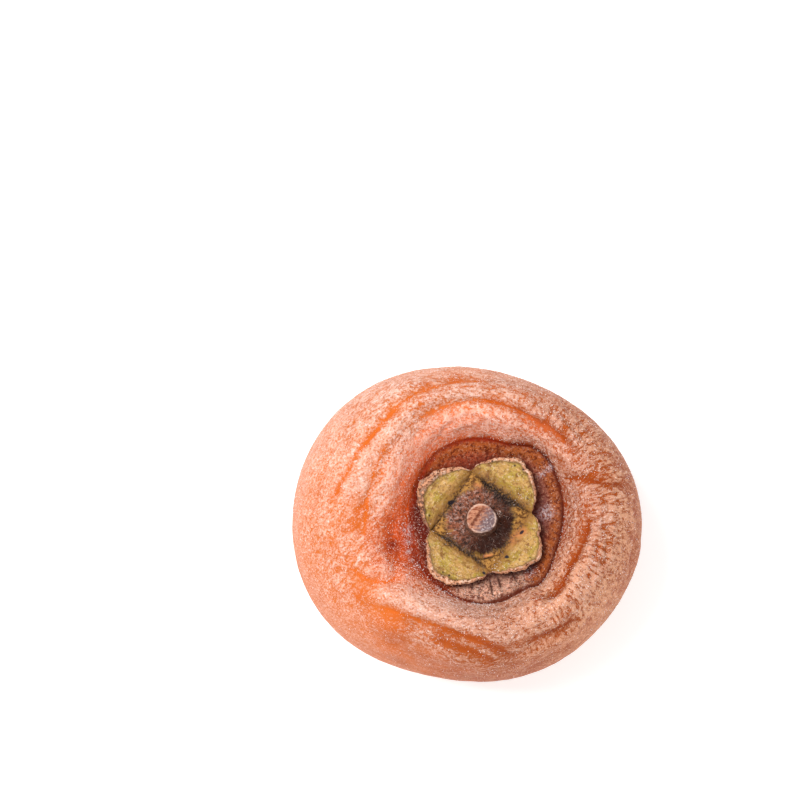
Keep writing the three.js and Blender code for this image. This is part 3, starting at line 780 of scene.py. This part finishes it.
def build_hairs(material, points, hairy):
    """Short thorn-shaped hairs on the felt and along the folds."""
    draw = np.random.default_rng(41)
    weight = hairy * np.linalg.norm(points[:, :2] - CALYX_AXIS, axis=1)
    seat = draw.choice(len(points), HAIRS, p=weight / weight.sum())
    root = points[seat] + draw.normal(0, 0.08, (HAIRS, 3)) * (1, 1, 0)
    lean = unit(np.column_stack([root[:, :2] - CALYX_AXIS, np.full(HAIRS, 3.2)]))
    lean += draw.normal(0, 0.45, (HAIRS, 3))
    lean[:, 2] = np.abs(lean[:, 2]) * 0.6 + 0.1
    lean = unit(lean)
    side = unit(np.cross(lean, (0, 0, 1)))
    other = np.cross(lean, side)
    length = draw.uniform(*HAIR_LENGTH, HAIRS)[:, None]
    thick = draw.uniform(*HAIR_THICKNESS, HAIRS)[:, None]
    foot = [root - lean * 0.1 + thick * (math.cos(angle) * side + math.sin(angle) * other)
            for angle in (0, math.tau / 3, 2 * math.tau / 3)]
    bend = root + lean * length * 0.6 + draw.normal(0, 0.07, (HAIRS, 3))
    middle = [bend + 0.65 * (corner - root + lean * 0.1) for corner in foot]
    tip = root + lean * length + draw.normal(0, 0.14, (HAIRS, 3))
    corners = np.stack([*foot, *middle, tip], axis=1)
    faces = [(2, 1, 0)]
    for k, after in ((0, 1), (1, 2), (2, 0)):
        faces += [(k, after, 3 + after), (k, 3 + after, 3 + k), (3 + k, 3 + after, 6)]
    mesh = mesh_of_many("calyx_hairs", corners, faces)
    set_fields(mesh, {"pale": np.repeat(draw.uniform(0, 1, HAIRS) ** 5, 7)})
    add_piece(mesh, material, "dried_calyx")


def unit(ways):
    return ways / np.linalg.norm(ways, axis=1, keepdims=True)


def build_stub(material):
    """The stub: a short stalk with a dished cut face, split across."""
    sink = -CALYX_GAP - STUB_SINK
    corners = [
        (0.0001, STUB_HEIGHT), (STUB_RADIUS - STUB_RIM, STUB_HEIGHT), (STUB_RADIUS, STUB_HEIGHT - STUB_RIM),
        (STUB_RADIUS, STUB_FOOT[1]), (STUB_RADIUS + STUB_FOOT[0], sink),
    ]
    section = [np.linspace(*ends, count, endpoint=False)
               for *ends, count in zip(corners, corners[1:], STUB_RINGS)]
    section = np.concatenate([*section, corners[-1:]])[1:]
    radius, height = np.repeat(section, STUB_COLUMNS, axis=0).T
    degrees = np.tile(np.arange(STUB_COLUMNS) * 360 / STUB_COLUMNS, len(section))
    way = direction(degrees)
    face = ramp(STUB_HEIGHT - 0.3, STUB_HEIGHT - 0.02, height)
    bark = noise(31, np.column_stack([way, height / 3]) * 4, 3)
    radius = radius * (1 + 0.03 * np.cos(np.radians(3 * degrees + 40)) + 0.05 * bark * (radius > 1.5))
    place = np.column_stack([way * radius[:, None], height])
    grain = noise(32, place @ [[0.8, 1.6, 0], [-2.2, 0.8, 0], [0, 0, 1]], 3)
    crumb = noise(33, place / 0.45)
    split = fall((place @ (0.83, -0.56, 0) + 0.75 + 0.25 * grain) / 0.24, 1) * (radius < 2)
    cup = CUP_DEPTH * fall(radius, 1.7)
    relief = face * (0.16 * grain + 0.12 * crumb - cup - 0.25 * split) + 0.1 * bark * (1 - face)
    slope = STUB_CUT_SLOPE * place[:, 0] * ramp(0, STUB_HEIGHT, height)
    seat = SECTION[0][1] + CALYX_GAP + DISC_HEIGHT + CALYX_GAP
    points = place + np.column_stack([np.tile(CALYX_AXIS, (len(place), 1)), seat + relief + slope])
    first, last = ([[*CALYX_AXIS, seat + end]] for end in (STUB_HEIGHT - CUP_DEPTH, sink))
    mesh = grid_mesh("stub_cut_stalk", STUB_COLUMNS, np.concatenate([first, points, last]))
    masks = {
        "bark": 1 - face,
        "rim": fall(radius - STUB_RADIUS + 0.16, 0.16) * face,
        "split": split * face,
        "frosted": ramp(-0.35, 0.5, way @ (0.85, -0.5) * radius / STUB_RADIUS + 0.5 * grain),
    }
    set_fields(mesh, masks)
    add_piece(mesh, material, "cut_stem", "stem_stub")


# --- Materials. Colours are linear red, green and blue ---
# Each pair turns to its second colour on the south-east side: partly duller flesh, partly painted shade
FLESH = ((0.57, 0.132, 0.022), (0.34, 0.062, 0.005))  # a pair of colours: on the bright and on the dull side
FLESH_COATS = [  # colour or pair of colours, mask, strength
    (((0.62, 0.135, 0.014), (0.32, 0.052, 0.004)), "groove", 0.5),
    (((0.57, 0.1, 0.008), (0.36, 0.055, 0.005)), "bare", 0.7),
    (((0.64, 0.125, 0.012), (0.25, 0.036, 0.003)), "core", 0.8),
    # rim: painted shade on the south-east rim
    ((0.29, 0.042, 0.005), "rim", 0.7),
    # pink: its own pink tone, also painted lighter against the shade on the north wall
    ((0.95, 0.21, 0.075), "pink", 0.85),
    ((0.62, 0.07, 0.008), "flush", 0.9),
    (((0.72, 0.085, 0.006), (0.38, 0.045, 0.004)), "blush", 0.85),
    # red and maroon: partly the flesh's own dark red, partly painted shade on the basin's west wall, and
    # painted shadow in the pocket
    ((0.24, 0.018, 0.005), "red", 0.92),
    ((0.12, 0.012, 0.008), "maroon", 0.9),
]
POWDER = ((0.85, 0.54, 0.43), (0.6, 0.3, 0.2))
POWDER_SPARKLE = ((0.93, 0.77, 0.72), (0.77, 0.56, 0.49))
POWDER_COATS = [
    # pink: pinker frost, also painted lighter against the shade on the north wall
    ((1.0, 0.56, 0.43), "pink", 0.85),
    ((0.95, 0.42, 0.28), "flush", 0.7),
    ((0.85, 0.45, 0.27), "warm", 0.85),
    # In the grooves the powder is painted orange: partly thinner frost over the flesh, partly painted warm
    # shade
    (((0.86, 0.34, 0.17), (0.55, 0.2, 0.09)), "groove", 0.6),
]
BALD = {  # how much powder each zone lacks
    "red": 0.42, "blush": 0.3, "flush": 0.56, "core": 0.38, "rim": 0.16, "pink": 0.1, "crease": 0.5,
    "bare": 0.42,
}
# Crease: the dark red cut edge of the peel, darkened further as painted shade in the crease, more so on the
# south-east side
CREASE = ((0.27, 0.018, 0.002), (0.1, 0.011, 0.002))
WALL_GAPS = (0.2, 0.018, 0.004)
CRACK = (0.04, 0.006, 0.003)


class Shader:
    """A material with one Principled shader, and short calls for the nodes that feed it."""

    def __init__(self, name, **values):
        self.material = bpy.data.materials.new(name)
        self.material.use_nodes = True
        self.tree = self.material.node_tree
        self.main = self.tree.nodes["Principled BSDF"]
        self.place = self.tree.nodes.new("ShaderNodeTexCoord").outputs["Object"]
        for socket, value in values.items():
            self.main.inputs[socket.replace("_", " ")].default_value = value

    def link(self, socket, value):
        if isinstance(value, bpy.types.NodeSocket):
            self.tree.links.new(value, socket)
        elif isinstance(value, tuple) and socket.type == "RGBA":
            socket.default_value = (*value, 1)
        else:
            socket.default_value = value

    def feed(self, name, value):
        self.link(self.main.inputs[name], value)

    def node(self, kind, inputs, output=0, **settings):
        """A new node with its settings and inputs. Gives one of its outputs."""
        node = self.tree.nodes.new("ShaderNode" + kind)
        for name, value in settings.items():
            setattr(node, name, value)
        for socket, value in inputs.items():
            self.link(node.inputs[socket], value)
        return node.outputs[output]

    def mask(self, name, output="Fac"):
        return self.node("Attribute", {}, output, attribute_name=name)

    def noise(self, size_mm, detail=2, roughness=0.5, stretch=None, place=None):
        """Noise whose blobs are about size_mm across, longer along an axis where stretch is under 1."""
        place = place or self.place
        if stretch:
            place = self.node("VectorMath", {0: place, 1: stretch}, operation="MULTIPLY")
        shape = {"Vector": place, "Scale": 1 / (size_mm * MM), "Detail": detail, "Roughness": roughness}
        return self.node("TexNoise", shape, "Fac")

    def flecks(self, size_mm, low, high, detail=3, roughness=0.85):
        """Noise that goes from 0 to 1 between its values low and high."""
        return self.step(self.noise(size_mm, detail, roughness), low, high)

    def spots(self, size_mm, share, soft=0.06):
        """1 on small round spots, one to each cell of size_mm."""
        cells = {"Vector": self.place, "Scale": 1 / (size_mm * MM)}
        return self.step(self.node("TexVoronoi", cells, "Distance"), share, share + soft, 1, 0)

    def step(self, value, low, high, start=0, end=1):
        inputs = dict(enumerate((value, low, high, start, end)))
        return self.node("MapRange", inputs, "Result", interpolation_type="SMOOTHSTEP")

    def between(self, name, start, end):
        """A value that goes from start to end with a mask."""
        return self.step(self.mask(name), 0, 1, start, end)

    def math(self, operation, first, second):
        return self.node("Math", {0: first, 1: second}, operation=operation)

    def times(self, *values):
        return functools.reduce(functools.partial(self.math, "MULTIPLY"), values)

    def total(self, *values):
        return functools.reduce(functools.partial(self.math, "ADD"), values)

    def blend(self, start, end, share):
        return self.node("Mix", {0: share, 6: start, 7: end}, 2, data_type="RGBA")

    def coats(self, colour, *rows):
        """Paint rows over a colour: each a colour or a pair of them, its mask or share, and its strength."""
        for over, share, strength in rows:
            if isinstance(over, tuple) and isinstance(over[0], tuple):
                over = self.blend(*over, self.mask("dull_and_shaded"))
            share = self.mask(share) if isinstance(share, str) else share
            colour = self.blend(colour, over, self.times(share, strength))
        return colour

    def bump(self, height, depth_mm, before=None):
        inputs = {"Height": height, "Distance": depth_mm * MM}
        return self.node("Bump", inputs | ({"Normal": before} if before else {}), "Normal")


def peel_colour(s, mottling):
    """Peel left round the calyx: dark and mottled, and pale and dusty to the south, where it is also painted
    lighter to lift shade. Painted shade darkens it round the calyx and under its edge.
    """
    return s.coats(
        # pale to the south: frost, and painted lighter to lift shade
        s.blend((0.34, 0.06, 0.022), (1.0, 0.54, 0.38), s.mask("south")),
        ((0.17, 0.068, 0.057), "east", 0.85),
        ((0.36, 0.085, 0.014), s.times(s.mask("band"), s.between("south", 1, 0.4)), 0.85),
        ((0.1, 0.01, 0.003), mottling, 0.85),
        (s.blend((0.52, 0.23, 0.14), (1.0, 0.76, 0.64), s.mask("south")), s.flecks(0.5, 0.54, 0.61), 0.65),
        # painted shade in a ring round the calyx
        ((0.12, 0.016, 0.01), "shade_round_calyx", 0.55),
        # painted shadow under the edge of the calyx
        ((0.06, 0.005, 0.003), "calyx_shadow", 0.9))


def powder_amount(s, mottling, weave, dust):
    """How much sugar powder lies on the skin. It is drawn out along the wrinkles and missing where bald."""
    peel, skin = s.mask("peel"), s.mask("skin", "Vector")
    bald = s.total(
        s.times(s.mask("groove"), s.between("dull_and_shaded", 0.32, 0.66)),
        *(s.times(s.mask(name), share) for name, share in BALD.items()),
        s.times(mottling, peel, 0.22),
        s.times(peel, s.total(0.62, s.times(s.mask("south"), -0.5))))
    lumps = s.math("SUBTRACT", s.noise(2.4, 2, 0.5, (0.5, 0.5, 1), skin), 0.5)
    return s.total(
        s.mask("cover"),
        s.times(lumps, s.between("calm", 0.12, 0.08)),
        s.times(bald, -1),
        s.times(s.math("SUBTRACT", weave, 0.5), s.between("calm", 2.7, 1.5), s.between("dull_and_shaded", 1.0, 1.6),
                s.between("low", 1.0, 0.6)),
        s.times(s.math("SUBTRACT", dust, 0.5), 1.1))


def flesh_material():
    s = Shader("dried_flesh", Subsurface_Weight=0.06, Subsurface_Scale=0.8 * MM, Specular_IOR_Level=0.1)
    s.main.inputs["Subsurface Radius"].default_value = (1, 0.35, 0.15)
    peel, skin = s.mask("peel"), s.mask("skin", "Vector")
    along = s.noise(0.5, 3, 0.8, (0.42, 0.42, 1), skin)
    across = s.noise(0.75, 3, 0.78, (1, 1, 0.42), skin)
    leaning = s.noise(0.62, 3, 0.75, (0.4, 1, 0.7), s.mask("leaning", "Vector"))
    weave = s.blend(s.blend(along, across, s.mask("across")), leaning, s.mask("lean"))
    dust = s.noise(0.32, 1, 0.6)
    mottling = s.flecks(0.75, 0.49, 0.57)
    powder = s.step(powder_amount(s, mottling, weave, dust), 0.1, 0.9)
    wall = s.math("MAXIMUM", s.mask("flush"), s.math("MAXIMUM", s.mask("red"), s.mask("maroon")))

    # Flesh, redder where it dives into the basin, then the peel, the powder and what shows through it
    flesh = s.coats(s.blend(*FLESH, s.mask("dull_and_shaded")),
                    ((0.42, 0.07, 0.008), s.flecks(5, 0.45, 0.7, 3, 0.6), 0.25), *FLESH_COATS)
    base = s.coats(s.blend(flesh, peel_colour(s, mottling), peel),
                   (WALL_GAPS, s.times(wall, s.step(weave, 0.5, 0.36)), 0.6))
    white = s.coats(s.blend(*POWDER, s.mask("dull_and_shaded")),
                    (POWDER_SPARKLE, s.flecks(0.5, 0.5, 0.7, 2, 0.7), 1), *POWDER_COATS)
    colour = s.coats(
        s.blend(base, white, s.times(powder, s.between("peel", 0.8, 0.42))),
        ((0.74, 0.42, 0.34), s.times(s.flecks(0.4, 0.55, 0.62, 2, 0.8), wall), 0.45),
        # the crease: own dark red, partly painted shade
        (CREASE, "crease", 0.96),
        # pale spots: painted highlights on the glossy peel, and drifts of sugar by the west wall
        ((0.62, 0.5, 0.52), s.times(s.mask("highlight_and_drift"), s.step(dust, 0.4, 0.6)), 0.8),
        (CRACK, "crack", 0.95),
        ((0.1, 0.05, 0.03), "scar", 0.8))
    s.feed("Base Color", colour)
    s.feed("Roughness", s.total(s.between("peel", 0.5, 0.34), s.times(powder, 0.35)))
    grit = s.bump(s.noise(0.5, 3, 0.75), 0.12, s.bump(powder, 0.05))
    dried = s.bump(s.times(s.noise(0.8, 3, 0.8), peel), 0.35, grit)
    s.feed("Normal", s.bump(weave, 0.35, dried))
    return s.material


def sugar_material():
    s = Shader("sugar_bloom", Roughness=0.35, Specular_IOR_Level=0.6)
    s.feed("Base Color", s.blend((0.76, 0.58, 0.5), (0.88, 0.82, 0.8), s.flecks(3, 0.4, 0.6, 2, 0.5)))
    return s.material


def calyx_material():
    s = Shader("dried_calyx", Specular_IOR_Level=0.12)
    blotch = s.noise(2.0, 3, 0.65)
    vein, shade = s.mask("vein"), s.mask("shade")
    cork = s.coats(
        s.blend((0.64, 0.31, 0.18), (0.09, 0.02, 0.01), s.flecks(0.5, 0.51, 0.58)),
        ((0.78, 0.55, 0.42), s.flecks(0.7, 0.54, 0.62, 2, 0.8), 0.85),
        ((0.09, 0.03, 0.018), s.times(s.mask("burnt"), s.flecks(0.7, 0.4, 0.56, 3, 0.7)), 0.9))
    tip = s.blend((0.43, 0.21, 0.052), (0.09, 0.032, 0.01), s.flecks(0.72, 0.47, 0.56))
    leaf = s.coats(
        s.blend((0.5, 0.285, 0.09), (0.37, 0.255, 0.045), s.step(blotch, 0.42, 0.6)),
        ((0.66, 0.44, 0.19), s.step(vein, 0.5, 0.75), 0.25),
        ((0.22, 0.115, 0.03), s.step(vein, 0.48, 0.25), 0.22),
        ((0.18, 0.08, 0.03), s.flecks(0.55, 0.52, 0.61), 0.65),
        ((0.66, 0.5, 0.33), s.flecks(0.42, 0.55, 0.64), 0.65),
        # root: own dried brown, partly painted shade at the fold
        ((0.24, 0.1, 0.022), "root", 0.75),
        ((0.17, 0.065, 0.02), s.flecks(1.3, 0.52, 0.68, 3, 0.7), 0.8),
        (cork, "cork", 0.95),
        ((0.09, 0.045, 0.02), "cork_line", 0.6),
        (tip, "tip", 0.9))
    fibre = s.noise(0.6, 3, 0.75, place=s.mask("ray", "Vector"))
    felt = s.coats(
        s.blend((0.27, 0.088, 0.046), (0.03, 0.007, 0.003), shade),
        ((0.42, 0.27, 0.23), s.times(s.step(fibre, 0.49, 0.6), s.between("shade", 1.0, 0.07)), 0.75),
        ((0.024, 0.007, 0.004), s.flecks(0.55, 0.51, 0.58), 0.85))
    thread = s.blend((0.018, 0.013, 0.011), (0.25, 0.17, 0.125), s.flecks(0.3, 0.56, 0.66, 2, 0.7))
    s.feed("Base Color", s.coats(
        s.blend(leaf, felt, s.mask("felt")),
        (thread, "fuzz", 0.9),
        ((0.6, 0.22, 0.08), s.times(s.mask("orange"), s.step(blotch, 0.3, 0.5)), 0.85),
        ((0.01, 0.006, 0.004), "slit", 0.85),
        ((0.012, 0.012, 0.022), "black", 0.95),
        ((0.02, 0.015, 0.015), s.spots(2.2, 0.06), 0.8),
        ((0.09, 0.035, 0.02), "under", 0.85)))
    s.feed("Roughness", s.step(blotch, 0.3, 0.7, 0.6, 0.92))
    s.feed("Normal", s.bump(s.noise(0.35, 3, 0.75), 0.18))
    return s.material


def hair_material():
    s = Shader("calyx_hair", Roughness=0.7)
    s.feed("Base Color", s.blend((0.03, 0.014, 0.01), (0.34, 0.22, 0.18), s.mask("pale")))
    return s.material


def stub_material():
    s = Shader("cut_stem", Specular_IOR_Level=0.15)
    fibre = s.noise(0.55, 3, 0.7, (0.6, 1.6, 1))
    frost = s.blend((0.1, 0.075, 0.09), (0.42, 0.36, 0.37), s.flecks(0.4, 0.5, 0.68, 3, 0.75))
    face = s.coats(
        s.blend((0.46, 0.2, 0.115), (0.22, 0.06, 0.028), s.step(fibre, 0.46, 0.6)),
        (frost, "frosted", 0.85),
        ((0.13, 0.03, 0.015), "split", 0.8),
        ((0.58, 0.4, 0.32), s.times(s.mask("rim"), s.flecks(0.8, 0.4, 0.55, 2, 0.5)), 0.85))
    bark = s.blend((0.1, 0.045, 0.03), (0.26, 0.16, 0.12), s.flecks(0.5, 0.45, 0.7, 3, 0.6))
    s.feed("Base Color", s.blend(face, bark, s.mask("bark")))
    s.feed("Roughness", s.step(fibre, 0.3, 0.7, 0.5, 0.85))
    s.feed("Normal", s.bump(fibre, 0.15))
    return s.material


def floor_material():
    # The floor glows faintly, though it is no lamp: this fills the shadows on it and lights the fruit from
    # below
    s = Shader("pale_floor", Roughness=0.6, Specular_IOR_Level=0.2, Emission_Strength=0.28)
    s.feed("Base Color", (0.93, 0.93, 0.93))
    return s.material


# --- Stage ---
def add_floor():
    corners = FLOOR_HALF * np.array([(-1, -1, 0), (1, -1, 0), (1, 1, 0), (-1, 1, 0)])
    mesh = new_mesh("floor", corners, [(0, 1, 2, 3)])
    mesh.materials.append(floor_material())
    new_object("floor", mesh)


def add_camera():
    data = bpy.data.cameras.new("camera")
    data.lens = LENS_MM
    data.sensor_width = SENSOR_MM
    data.clip_start = 0.01
    camera = new_object("camera", data)
    camera.rotation_euler = (math.radians(90 - CAMERA_ELEVATION), 0, 0)
    focal_px = FRAME_PX * LENS_MM / SENSOR_MM
    right, down = ((at - FRAME_PX / 2) / focal_px for at in MIDDLE_PX)
    ray = camera.rotation_euler.to_matrix() @ Vector((right, -down, -1))
    camera.location = (Vector((0, 0, MIDDLE_HEIGHT)) - ray * CAMERA_DISTANCE) * MM
    bpy.context.scene.camera = camera


def add_light(name, place, size, power):
    """A square white soft box that shines on the fruit."""
    data = bpy.data.lights.new(name, "AREA")
    data.size = size
    data.energy = power
    light = new_object(name, data)
    light.location = place
    aim = Vector((0, 0, MIDDLE_HEIGHT * MM)) - light.location
    light.rotation_euler = aim.to_track_quat("-Z", "Y").to_euler()


def add_studio():
    world = bpy.data.worlds.new("studio")
    world.use_nodes = True
    background = world.node_tree.nodes["Background"]
    background.inputs["Color"].default_value = (1, 1, 1, 1)
    background.inputs["Strength"].default_value = SKY_STRENGTH
    bpy.context.scene.world = world
    for name, light in LIGHTS.items():
        add_light(name, *light)
    bpy.context.scene.view_settings.view_transform = "Standard"


add_camera()
add_studio()
add_floor()
fruit, fruit_places, skin_masks = build_fruit(flesh_material())
calyx_points, hairy, calyx_upper = build_calyx(calyx_material())
build_sugar_grains(sugar_material(), fruit, fruit_places, skin_masks, calyx_points, calyx_upper)
build_hairs(hair_material(), calyx_points, hairy)
build_stub(stub_material())
